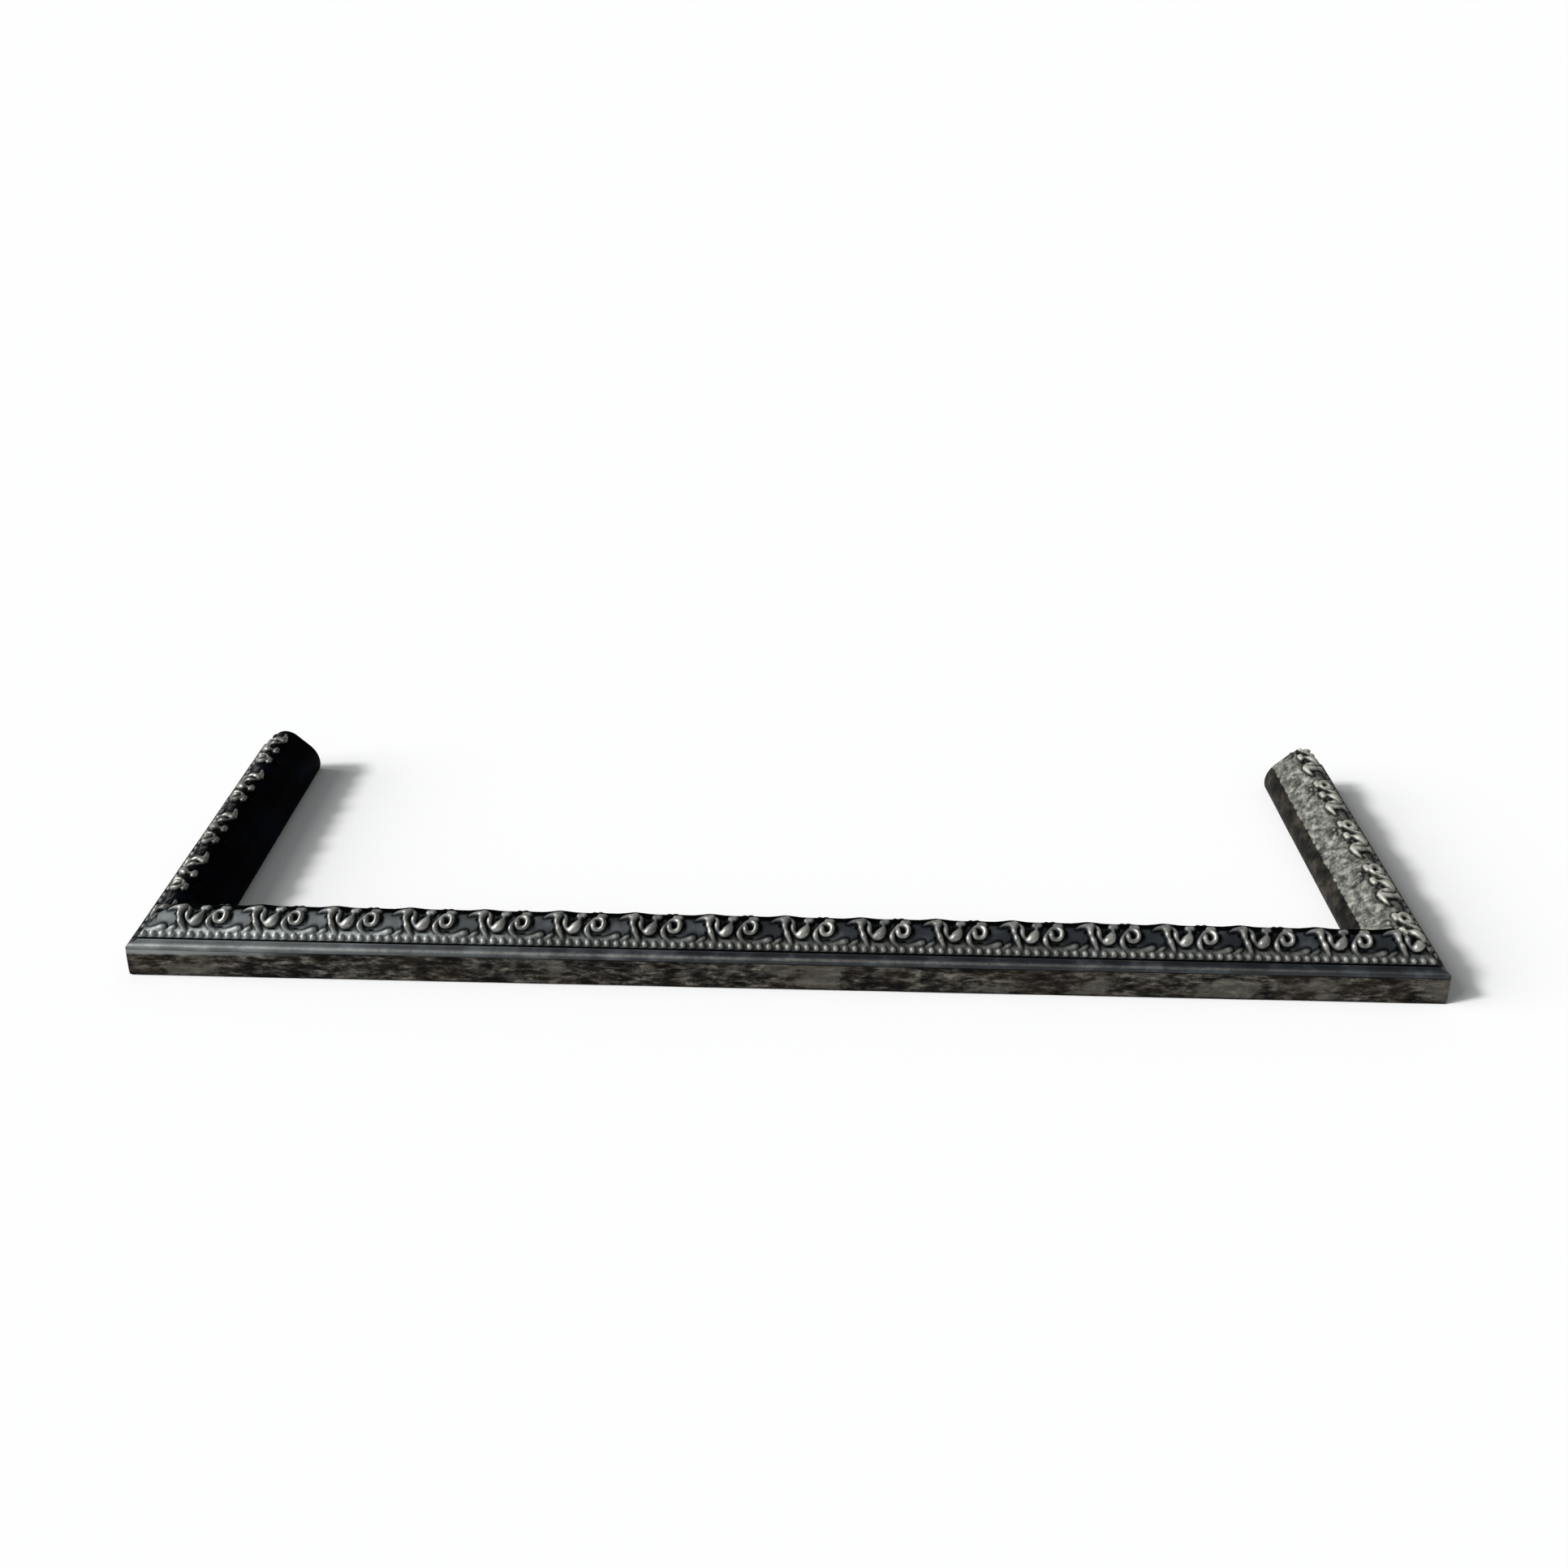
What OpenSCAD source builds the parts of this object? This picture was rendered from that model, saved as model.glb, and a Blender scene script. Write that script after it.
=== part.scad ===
// Cast-iron hearth fender: a long front moulding and two returns, mitred at the
// corners, hollow below, with a bead row and a running scroll cast on the slope.
// X runs along the front, Y towards the hearth, Z up. The origin is on the floor,
// in the middle of the rectangle that the fender covers.

/* [Overall size] */
// Width over the outer faces of the returns
overall_w = 1320; // [900:10:1600]
// Depth from the front face to the back ends of the returns
overall_d = 363; // [260:1:500]

/* [Moulding section] */
// Height of the plinth face
plinth_h = 30.5; // [29:0.5:31]
// How far the plinth face leans in at its top
plinth_lean = 4; // [3:0.1:4.2]
// Width of the flat on top of the plinth
plinth_flat = 0.4; // [0.3:0.1:0.6]
// Radius of the quarter round above the plinth
ovolo_r = 4.9; // [4.6:0.1:5]
// Radius of the hollow below the beads
cove_r = 2.4; // [2.2:0.1:2.5]
// Radius of the crest of the moulding
crest_r = 17; // [16:0.5:18]
// Height of the plain crest, without its ornament
crest_h = 56; // [54:0.5:57]
// Distance of the crest behind the front face
crest_u = 37.5; // [37:0.5:38.5]
// Radius of the plain round on the hearth side
back_r = 33; // [32:0.5:34]
// Thickness of the casting
wall = 5; // [4:0.5:6]
// Thickness of the web that closes the back end of a return
end_web = 6; // [4:1:10]

/* [Ornament] */
// Length of one repeat of the scroll
repeat = 76.2; // [70:0.1:84]
// Beads in one repeat
beads_per_repeat = 8; // [6:1:9]
// Radius of a bead
bead_r = 3.2; // [2.6:0.1:3.6]
// Start of the first repeat from the left corner of the front
front_start = 31; // [0:1:76]

/* [Corner joints] */
// Length of a corner plate's arm from the outer corner
arm_l = 120; // [100:5:140]
// Width of a corner plate's arm
arm_w = 24; // [20:1:26]
// Thickness of a corner plate
plate_t = 4; // [3:0.5:5]
// Height of the faces of the cast bosses
boss_h = 30; // [26:1:31]
// Diameter of a cast boss
boss_d = 14; // [12:1:15]
// Diameter of a screw's shank
screw_d = 6.3; // [5:0.1:7]

/* [Hidden] */
$fn = 48;

// Section points, as distance in from the outer face and height
crest_c = [crest_u, crest_h - crest_r];
back_low = 14.5;
back_c = [crest_u, back_low];
// Flats run a little inside the rounds that they meet.
key = 0.05;
// Directions square to the ornamented slope and to the flat behind the crest
slope_a = 135;
back_a = asin((back_r - crest_r) / (crest_c[1] - back_c[1]));
slope_drop = crest_c[1] - crest_c[0] + (crest_r - key) * sqrt(2);
ovolo_rise = 1.3;
ovolo_root = plinth_lean + plinth_flat;
ovolo_c = [ovolo_root + sqrt(ovolo_r * ovolo_r - ovolo_rise * ovolo_rise), plinth_h + ovolo_rise];
cove_out = 1.25;
cove_foot_u = 12.55;
cove_c = [cove_foot_u - cove_out / sqrt(2), cove_foot_u + slope_drop + cove_out / sqrt(2)];
lip_u = cove_foot_u + sqrt((cove_r * cove_r - cove_out * cove_out) / 2);
section_w = crest_u + back_r;
section_top = 2 * crest_h;
below = 1;

// The ornamented field: up the slope from the beads, then over the crest.
bead_in = 2.6;
bead_u = lip_u + bead_in;
slope_len = (crest_c[0] + crest_r * cos(slope_a) - bead_u) * sqrt(2);
function over(s) = max(0, s - slope_len) / crest_r * 180 / PI;
function tilt(s) = 45 - over(s);
function field_u(s) = s < slope_len ? bead_u + s / sqrt(2)
    : crest_c[0] - crest_r * sin(tilt(s));
function field_z(s) = s < slope_len ? field_u(s) + slope_drop
    : crest_c[1] + crest_r * cos(tilt(s));

// Corner joints
axis_u = 35;
boss_root = 1.5;
boss_top = crest_h - wall + boss_root;
hole_clearance = 1.2;
hole_d = screw_d + hole_clearance;
washer_clearance = 0.5;
tap_depth = 14;
shank_l = 12;
head_d = 10.5;
head_h = 4.5;
slot_w = 1.6;
washer_d = 13;
washer_t = 1.4;
near_x = 62;
far_x = 106;
washer_z = boss_h - plate_t - washer_t;
seat_gap = 0.1;

// Room that a mitre takes from the ornament, up to where it ends behind the crest
mitre = 53;
// How far the last leaf of a repeat reaches into the next one
leaf_over = 8;
// Least distance of a bead's middle from the mitre or from a cut end
bead_gap = 0.2;
bead_clear = bead_r * sqrt(2) + bead_gap;
// Depth of a rib's foot below the field, and the width of its back beside its foot's
rib_root = 1.6;
rib_taper = 0.5;

iron = "#23272d";
worn_iron = "#30343a";
wrought = "#4b4540";
steel = "#6f6a63";

// ---- Moulding ---------------------------------------------------------------

function on_circle(c, r, a) = [c[0] + r * cos(a), c[1] + r * sin(a)];

module disc(c, r) {
    translate(c) circle(r, $fn = 180);
}

// Crest and hearth side, which the outside and the hollow share. The polygon
// carries on from the points given for the outer side.
module crown(inset, outer_points) {
    crest = crest_r - inset;
    back = back_r - inset;
    disc(crest_c, crest);
    disc(back_c, back);
    polygon(concat(outer_points, [on_circle(crest_c, crest - key, slope_a), crest_c,
        on_circle(crest_c, crest - key, back_a), on_circle(back_c, back - key, back_a),
        back_c, [crest_u, -below]]));
}

module section() {
    intersection() {
        difference() {
            union() {
                crown(0, [[0, -below], [0, 0], [plinth_lean, plinth_h], [ovolo_c[0], plinth_h],
                    [ovolo_c[0], ovolo_c[0] + slope_drop]]);
                disc(ovolo_c, ovolo_r);
            }
            disc(cove_c, cove_r);
        }
        square([section_top, section_top]);
    }
}

module hollow_section() {
    ceiling = slope_drop - wall * sqrt(2);
    shoulder = wall + plinth_lean;
    crown(wall, [[wall, -below], [wall, 0], [shoulder, shoulder + ceiling]]);
}

// Turns a drawn section so that its bar runs along X with its top up
module bar(from, to) {
    translate([from, 0, 0]) rotate([90, 0, 90]) linear_extrude(to - from) children();
}

// ---- Ornament ---------------------------------------------------------------

// Puts a piece on the field, x along the moulding and s up it from the beads
module on_field(x, s) {
    translate([x, field_u(s), field_z(s)]) rotate([tilt(s), 0, 0]) children();
}

module knob(x, s, r) {
    on_field(x, s) sphere(r, $fn = 24);
}

// Cross-section of a cast rib: sides with draft and a narrow back
module rib_section(half_w, rise) {
    polygon([[-half_w, -rib_root], [half_w, -rib_root], [half_w * rib_taper, rise],
        [-half_w * rib_taper, rise]]);
}

// Rib bent to an arc that lies on the field
module curl(x, s, r, half_w, rise, from, sweep) {
    on_field(x, s) rotate(from) rotate_extrude(angle = sweep)
        translate([r, 0]) rib_section(half_w, rise);
}

// Straight rib between two places on the field
module stalk(x0, s0, x1, s1, half_w, rise) {
    length = norm([x1 - x0, s1 - s0]);
    on_field((x0 + x1) / 2, (s0 + s1) / 2) rotate(atan2(s1 - s0, x1 - x0))
        translate([-length / 2, 0, 0]) rotate([90, 0, 90]) linear_extrude(length)
            rib_section(half_w, rise);
}

// Leaf that rises from the beads, swells at the crest, hooks over to the left and
// sends two lobes back over the crest
module crook() {
    stalk(25.8, 3.6, 21.8, 19.5, 3, 2.8);
    knob(20.4, 23.2, 4.9);
    stalk(19, 23.8, 9, 22.6, 2.3, 2.6);
    stalk(20.4, 26.5, 20, 35.5, 3, 2.6);
    stalk(23.6, 28.2, 33.4, 31.4, 2.5, 2.4);
}

// Cup-shaped scroll with a heavy lower side and a short arm over the crest
module cup_scroll() {
    curl(36.2, 17.2, 6.8, 2.9, 2.9, 150, 245);
    knob(39.8, 14.6, 4.6);
    stalk(42.6, 20.4, 44.4, 29, 2.3, 2.5);
}

// Stem that climbs into a full turn with a bulb in its eye and a lobe over the crest
module eye_scroll() {
    stalk(56.4, 3.6, 50.8, 11.6, 2.6, 2.7);
    stalk(50.8, 11.6, 53.6, 20, 2.5, 2.7);
    curl(61.7, 17.5, 5.2, 2.6, 2.9, -130, 310);
    knob(58, 16, 3.2);
    stalk(61, 24.2, 59.8, 33, 2.4, 2.5);
}

// Low leaf that runs along the beads to a round tip before the next crook
module tail_leaf() {
    stalk(67.5, 4, 79.4, 6.4, 2, 2);
    knob(80.6, 7, 3.1);
}

module scroll_repeat() {
    crook();
    cup_scroll();
    eye_scroll();
    tail_leaf();
}

// Beads whose middles lie between two places, in step with the repeats from start
module bead_row(from, to, start) {
    pitch = repeat / beads_per_repeat;
    for (i = [ceil((from - start) / pitch - 0.5):floor((to - start) / pitch - 0.5)])
        knob(start + (i + 0.5) * pitch, 0, bead_r);
}

// Relief on a bar. The mitres are given as the room that they take at each end.
// Repeats that lie whole between them stand as they are; the others are cut.
module ornament(length, start, mitre_l, mitre_r) {
    last = floor((length - start) / repeat);
    function whole(i) = start + i * repeat > mitre_l
        && start + (i + 1) * repeat + leaf_over < length - mitre_r;
    bead_row(mitre_l > 0 ? bead_u + bead_clear : bead_clear,
        length - (mitre_r > 0 ? bead_u + bead_clear : bead_clear), start);
    for (i = [-1:last]) if (whole(i)) translate([start + i * repeat, 0, 0]) scroll_repeat();
    intersection() {
        union() {
            for (i = [-1:last]) if (!whole(i)) translate([start + i * repeat, 0, 0]) scroll_repeat();
        }
        plan_prism() children();
    }
}

// ---- Castings ---------------------------------------------------------------

// Bosses under the crown, on which a corner plate is screwed
module bosses(places) {
    for (x = places) translate([x, axis_u, boss_h]) difference() {
        cylinder(h = boss_top - boss_h, d = boss_d);
        translate([0, 0, -below]) cylinder(h = tap_depth + below, d = screw_d + 2 * seat_gap);
    }
}

module plan_prism() {
    translate([0, 0, -below]) linear_extrude(2 * crest_h) children();
}

// Hollow bar with its relief and bosses; the plan outline trims its ends
module casting(length, start, mitre_l, mitre_r, places) {
    hollow_from = mitre_l > 0 ? -below : end_web;
    hollow_to = mitre_r > 0 ? length + below : length - end_web;
    difference() {
        intersection() {
            bar(0, length) section();
            plan_prism() children();
        }
        bar(hollow_from, hollow_to) hollow_section();
    }
    bosses(places);
    ornament(length, start, mitre_l, mitre_r) children();
}

module front_rail() {
    color(iron) translate([-overall_w / 2, -overall_d / 2, 0])
        casting(overall_w, front_start, mitre, mitre,
            [near_x, far_x, overall_w - far_x, overall_w - near_x])
            polygon([[0, 0], [overall_w, 0], [overall_w - section_w, section_w],
                [section_w, section_w]]);
}

// Its bar starts at the back end and runs to the left front corner
module left_return() {
    color(iron) translate([-overall_w / 2, overall_d / 2, 0]) rotate(-90)
        casting(overall_d, 0, 0, mitre, [overall_d - far_x, overall_d - near_x])
            polygon([[0, 0], [overall_d, 0], [overall_d - section_w, section_w],
                [0, section_w]]);
}

// Its bar starts at the right front corner and runs to the back end
module right_return() {
    color(worn_iron) translate([overall_w / 2, -overall_d / 2, 0]) rotate(90)
        casting(overall_d, 0, mitre, 0, [near_x, far_x])
            polygon([[0, 0], [overall_d, 0], [overall_d, section_w],
                [section_w, section_w]]);
}

// ---- Corner joints ----------------------------------------------------------

// Screw places from the outer corner, two on each arm
corner_places = [[near_x, axis_u], [far_x, axis_u], [axis_u, near_x], [axis_u, far_x]];

module at_left_corner() {
    translate([-overall_w / 2, -overall_d / 2, 0]) children();
}

module at_right_corner() {
    mirror([1, 0, 0]) at_left_corner() children();
}

module corner_plate() {
    low = axis_u - arm_w / 2;
    high = axis_u + arm_w / 2;
    cut = arm_w / 3;
    color(wrought) difference() {
        translate([0, 0, boss_h - plate_t]) linear_extrude(plate_t)
            polygon([[low + cut, low], [arm_l, low], [arm_l, high], [high, high],
                [high, arm_l], [low, arm_l], [low, low + cut]]);
        for (p = corner_places) translate([p[0], p[1], boss_h - plate_t - below])
            cylinder(h = plate_t + 2 * below, d = hole_d);
    }
}

module washers() {
    color(steel) for (p = corner_places) translate([p[0], p[1], washer_z]) difference() {
        cylinder(h = washer_t, d = washer_d);
        translate([0, 0, -below]) cylinder(h = washer_t + 2 * below, d = screw_d + washer_clearance);
    }
}

// Cheese-headed screw, its head below and its shank up into the boss
module screw() {
    difference() {
        union() {
            translate([0, 0, -head_h]) cylinder(h = head_h, d = head_d);
            translate([0, 0, -below]) cylinder(h = shank_l + plate_t + washer_t + below, d = screw_d);
        }
        translate([-head_d / 2 - below, -slot_w / 2, -head_h - below])
            cube([head_d + 2 * below, slot_w, head_h / 2 + below]);
    }
}

module screws() {
    color(steel) for (p = corner_places) translate([p[0], p[1], washer_z]) screw();
}

front_rail();
left_return();
right_return();
at_left_corner() corner_plate();  // left_corner_plate
at_right_corner() corner_plate();  // right_corner_plate
at_left_corner() washers();  // left_corner_washers
at_right_corner() washers();  // right_corner_washers
at_left_corner() screws();  // left_corner_screws
at_right_corner() screws();  // right_corner_screws
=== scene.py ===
from math import asin, atan2, cos, degrees, hypot, pi, radians, sin, sqrt

import bpy
import numpy as np
from mathutils import Matrix, Vector


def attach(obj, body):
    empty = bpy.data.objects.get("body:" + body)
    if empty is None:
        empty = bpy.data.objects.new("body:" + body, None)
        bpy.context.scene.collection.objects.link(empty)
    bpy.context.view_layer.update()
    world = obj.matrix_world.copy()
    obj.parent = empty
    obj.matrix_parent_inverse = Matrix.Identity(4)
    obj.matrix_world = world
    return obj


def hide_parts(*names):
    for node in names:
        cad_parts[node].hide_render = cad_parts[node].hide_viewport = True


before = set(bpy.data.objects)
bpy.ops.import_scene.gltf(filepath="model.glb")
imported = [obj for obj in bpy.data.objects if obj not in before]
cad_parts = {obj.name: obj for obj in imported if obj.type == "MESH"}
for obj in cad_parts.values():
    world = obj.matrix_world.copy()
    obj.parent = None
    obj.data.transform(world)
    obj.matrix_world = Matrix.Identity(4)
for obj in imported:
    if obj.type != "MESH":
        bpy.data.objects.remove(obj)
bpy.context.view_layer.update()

MM = 0.001

# ---- Sizes, in millimetres ---------------------------------------------------------
# The section, the castings' lengths and the bosses are as in the part's own source.

OVERALL_W, OVERALL_D = 1320.0, 363.0
PLINTH_H, PLINTH_LEAN = 30.5, 4.0
OVOLO_C, OVOLO_R = (9.124, 31.8), 4.9
COVE_C, COVE_R = (11.666, 38.905), 2.4
# On the slope z is u plus this
SLOPE_DROP = 25.471
LIP_U, BEAD_U = 13.999, 16.599
CREST_C, CREST_R = (37.5, 39.0), 17.0
BACK_C, BACK_R = (37.5, 14.5), 33.0
WALL, END_WEB = 5.0, 6.0
BOSS_H, BOSS_D, BOSS_TOP, HOLE_D = 30.0, 14.0, 52.5, 6.5
AXIS_U, NEAR_X, FAR_X = 35.0, 62.0, 106.0

# The ornament is not. In the source the scroll repeats at 76.2 mm from 31 mm on; with
# the camera below, the photo's 17 repeats fit 75.84 mm better. That the returns carry it
# further over the crest was judged.
REPEAT, BEADS = 75.84, 8
FRONT_START, RETURN_START = 34.1, 0.0
RETURN_OVER, OVER_FADE = 3.2, 3.0
BEAD_HALF_W, BEAD_HALF_L, BEAD_RISE = 3.15, 3.7, 3.0

# Wear of the foot and of the plinth's arrises
FOOT_R, ARRIS_R = 1.0, 0.35
MITRE_EASE, FOOT_EASE, FOOT_REACH = 0.9, 1.4, 5.0
# A dressed face lies this far inside the drawn section, give or take a slow wave, which
# is another one on each band of the girth. The plinth's face and the relief have their own.
SKIN = 0.12
SKIN_WAVE, SKIN_WAVE_L, BAND = 0.12, 160, 25
FACE_WAVE, FACE_WAVE_L = 0.14, 230
RISE_WAVE, RISE_WAVE_L = 0.05, 210
# The relief dies away over this distance from a mitre, and stays below the solids' top
MITRE_FADE, CREST_TOP = 2.4, 60.62

# Steps of the mesh: fine where the relief is, coarse on plain runs but near their ends
COLUMNS, PLAIN_EVERY, FIELD_STEP = 96, 12, 0.86
NEAR_END = 9
# Edges bent by more than this many degrees are drawn sharp
SHARP_A = 48
# Angles on the crest's round where the slope comes in and the back goes out
SLOPE_A = 135
BACK_A = degrees(asin((BACK_R - CREST_R) / (CREST_C[1] - BACK_C[1])))
SLOPE_LEN = (CREST_C[0] - CREST_R / sqrt(2) - BEAD_U) * sqrt(2)
FIELD_END = SLOPE_LEN + CREST_R * radians(SLOPE_A - BACK_A)
# Farther than any place is from anything
FAR = 99.0


# ---- Relief: the beads and one repeat of the scroll --------------------------------
# Every stroke runs through points (x along, s up the field from the bead line,
# half width, rise). Its back is rounded and its sides are steep, as cast.

CROOK = [(26.8, 2.6, 2.2, 1.2), (26.0, 5.5, 2.6, 2.6), (24.4, 9.0, 2.8, 3.6),
         (22.6, 13.0, 3.3, 5.0), (21.2, 16.6, 2.6, 3.6), (20.2, 19.8, 3.1, 4.5),
         (20.4, 23.4, 3.6, 4.4), (21.6, 26.6, 4.2, 4.5)]
HOOK = [(21.4, 26.8, 4.0, 4.5), (16.8, 28.0, 3.0, 4.0), (12.4, 27.4, 2.4, 3.3),
        (8.8, 26.2, 1.8, 2.2), (6.8, 25.2, 1.1, 1.1)]
CREST_BUDS = [[(17.2, 28.0, 3.3, 4.2), (22.6, 28.4, 4.1, 4.5)],
              [(22.6, 28.4, 3.0, 4.2), (26.4, 28.4, 2.3, 2.7), (28.8, 25.2, 2.2, 2.9)],
              [(41.6, 27.4, 3.3, 3.7), (46.2, 27.6, 3.6, 4.1)],
              [(62.2, 27.0, 3.2, 4.0), (67.2, 27.0, 3.3, 3.9)],
              [(54.8, 36.6, 2.5, 2.1), (56.0, 37.4, 2.3, 1.9)],
              [(61.0, 35.8, 2.7, 2.4), (62.2, 36.6, 2.5, 2.2)]]
CUP = [(29.0, 23.6, 2.2, 3.0), (28.6, 20.6, 3.1, 4.1), (28.8, 17.0, 2.7, 3.3),
       (31.0, 13.4, 2.4, 2.6), (35.0, 12.4, 4.0, 4.8), (38.6, 14.4, 5.3, 5.4),
       (41.4, 17.6, 4.2, 5.0), (42.6, 21.0, 2.4, 3.2)]
CUP_ARM = [(42.6, 21.0, 2.2, 2.8), (43.2, 24.4, 2.3, 2.7), (44.0, 27.2, 2.6, 3.4)]
STEM = [(58.8, 3.4, 1.8, 0.7), (56.4, 4.6, 2.2, 1.3), (53.8, 6.6, 2.5, 2.2),
        (51.6, 9.4, 2.9, 3.9), (50.6, 12.4, 3.1, 4.7), (51.2, 15.6, 2.4, 3.8),
        (53.2, 19.0, 1.9, 2.8), (56.2, 22.0, 2.1, 3.1)]
RING = [(55.4, 21.6, 2.0, 2.8), (58.8, 23.8, 2.4, 3.5), (63.0, 24.3, 2.6, 4.2),
        (66.4, 22.0, 2.8, 5.0), (67.2, 18.6, 2.8, 5.2), (65.8, 15.0, 2.6, 4.5),
        (61.8, 13.2, 2.6, 3.8), (58.0, 14.4, 2.8, 4.5), (56.8, 17.2, 3.0, 5.0),
        (57.4, 19.4, 2.3, 4.0)]
LOW_LEAVES = [[(66.0, 3.6, 2.0, 0.5), (71.0, 4.4, 2.6, 0.9), (75.5, 5.6, 3.0, 1.6),
               (79.4, 7.0, 3.3, 2.5), (81.8, 7.8, 2.7, 2.0)],
              [(10.6, 4.4, 1.7, 0.8), (13.8, 6.2, 2.4, 1.9), (16.4, 7.8, 2.0, 1.7)]]
STROKES = [CROOK, HOOK, CUP, CUP_ARM, STEM, RING] + CREST_BUDS + LOW_LEAVES
# Pockets painted black, as (x, s, half length, half width): in the cup's and the ring's
# eyes, under both, and between the plants. The black is painted shade of the undercuts, with
# blacking
POCKETS = [(36.4, 21.4, 3.4, 5.2), (35.0, 27.6, 4.4, 3.4), (24.6, 22.8, 1.5, 3.4),
           (54.6, 27.4, 4.4, 3.4), (48.3, 24.2, 3.0, 6.2), (38.0, 7.4, 8.5, 2.0),
           (47.0, 12.4, 1.6, 4.0), (61.8, 7.8, 6.2, 2.2), (61.9, 18.8, 2.8, 3.4),
           (72.2, 19.0, 1.8, 6.0), (15.6, 21.2, 2.6, 3.2), (9.4, 6.6, 1.5, 2.4),
           (17.4, 12.0, 1.8, 3.4)]
# Low humps along the back of the front's crest
CREST_BACK = [(4.0, 35.4, 3.4, 1.2), (12.0, 35.2, 3.6, 2.0), (20.0, 35.2, 4.0, 2.9),
              (29.0, 35.0, 3.6, 2.3), (37.0, 35.2, 3.4, 1.5), (50.0, 35.4, 3.4, 1.2),
              (60.0, 35.2, 3.6, 1.7), (70.0, 35.4, 3.4, 1.2), (80.2, 35.4, 3.4, 1.2)]
# A stroke is left out when it starts further than this from the repeat
STROKE_REACH = 8


def smooth_path(points, steps=6):
    """The stroke's points on a Catmull-Rom curve, so that it bends evenly."""
    p = np.array(points, float)
    p = np.vstack([2 * p[0] - p[1], p, 2 * p[-1] - p[-2]])
    out = []
    for a, b, c, d in zip(p[:-3], p[1:-2], p[2:-1], p[3:]):
        for t in np.arange(steps) / steps:
            out.append(0.5 * (2 * b + (c - a) * t + (2 * a - 5 * b + 4 * c - d) * t * t
                              + (3 * b - a - 3 * c + d) * t ** 3))
    out.append(p[-2])
    return np.array(out)


def stroke_fields(path, x, s):
    """Height of one stroke at the places (x, s), and how far they lie outside it."""
    best_t = np.full(x.shape, 9.0)
    rise = np.zeros(x.shape)
    gap = np.full(x.shape, FAR)
    for a, b in zip(path[:-1], path[1:]):
        along = b[:2] - a[:2]
        t = ((x - a[0]) * along[0] + (s - a[1]) * along[1]) / max(along @ along, 1e-9)
        t = np.clip(t, 0, 1)
        far = np.hypot(x - a[0] - t * along[0], s - a[1] - t * along[1])
        half = a[2] + t * (b[2] - a[2])
        near = far / half < best_t
        rise = np.where(near, a[3] + t * (b[3] - a[3]), rise)
        best_t = np.minimum(best_t, far / half)
        gap = np.minimum(gap, far - half)
    return rise * np.clip(1 - best_t ** 2.4, 0, 1) ** 0.62, gap


def repeat_tile():
    """Relief height, black painted as shade with blacking, and humps behind the crest, by column
    and field row.
    """
    xs = np.arange(COLUMNS) * REPEAT / COLUMNS
    x, s = np.meshgrid(xs, field_rows(), indexing="ij")
    height, gap = np.zeros(x.shape), np.full(x.shape, FAR)
    for points in STROKES:
        path = smooth_path(points)
        for shift in (-REPEAT, 0, REPEAT):
            moved = path + [shift, 0, 0, 0]
            if moved[:, 0].max() < -STROKE_REACH or moved[:, 0].min() > REPEAT + STROKE_REACH:
                continue
            h, g = stroke_fields(moved, x, s)
            height = np.maximum(height, h)
            gap = np.minimum(gap, g)
    # Black lines every stroke, painted shade of its undercut with blacking, and less of it near the
    # beads
    black = np.clip(1 - np.abs(gap - 0.5) / 2.8, 0, 1) * np.clip((s - 2.0) / 4.5, 0.25, 1)
    for shift in (-REPEAT, 0, REPEAT):
        for px, ps, half_x, half_s in POCKETS:
            far = np.hypot((x - px - shift) / half_x, (s - ps) / half_s)
            black = np.maximum(black, np.clip(1.6 - 1.3 * far, 0, 1))
    humps = np.zeros(x.shape)
    for shift in (-REPEAT, 0):
        hump = stroke_fields(smooth_path(CREST_BACK) + [shift, 0, 0, 0], x, s)[0]
        humps = np.maximum(humps, hump)
    return height, black, humps


def bead_fields(x, s, start, low, high):
    """Height of the oval beads between two places, and the black painted between and below them as
    shade, with blacking.
    """
    pitch = REPEAT / BEADS
    middle = start + (np.floor((x - start) / pitch) + 0.5) * pitch
    far = np.hypot((x - middle) / BEAD_HALF_W, s / BEAD_HALF_L)
    there = (middle > low) & (middle < high)
    height = np.where(there, BEAD_RISE * np.clip(1 - far ** 2.2, 0, None) ** 0.5, 0)
    # The ring of painted shade and blacking sits 1 mm lower than the bead
    below = np.hypot((x - middle) / BEAD_HALF_W, (s + 1.0) / BEAD_HALF_L)
    ring = np.clip(1 - np.abs((below - 1) * BEAD_HALF_W - 0.4) / 1.6, 0, 1)
    return height, (0.8 * ring * np.clip((0.8 - s) / 2, 0, 1)
                    * np.clip((s + 3.8) / 1.5, 0.3, 1))


def field_rows():
    start = -(BEAD_U - LIP_U) * sqrt(2)
    count = int(round((FIELD_END - start) / FIELD_STEP))
    return np.linspace(start, FIELD_END, count + 1)


# ---- Moulding section --------------------------------------------------------------
# Points are (u, z, s): u in from the outer face, z up, and s up the field or None.

def arc(centre, radius, from_a, to_a, count):
    return [(centre[0] + radius * cos(radians(a)), centre[1] + radius * sin(radians(a)), None)
            for a in np.linspace(from_a, to_a, count)]


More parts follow.
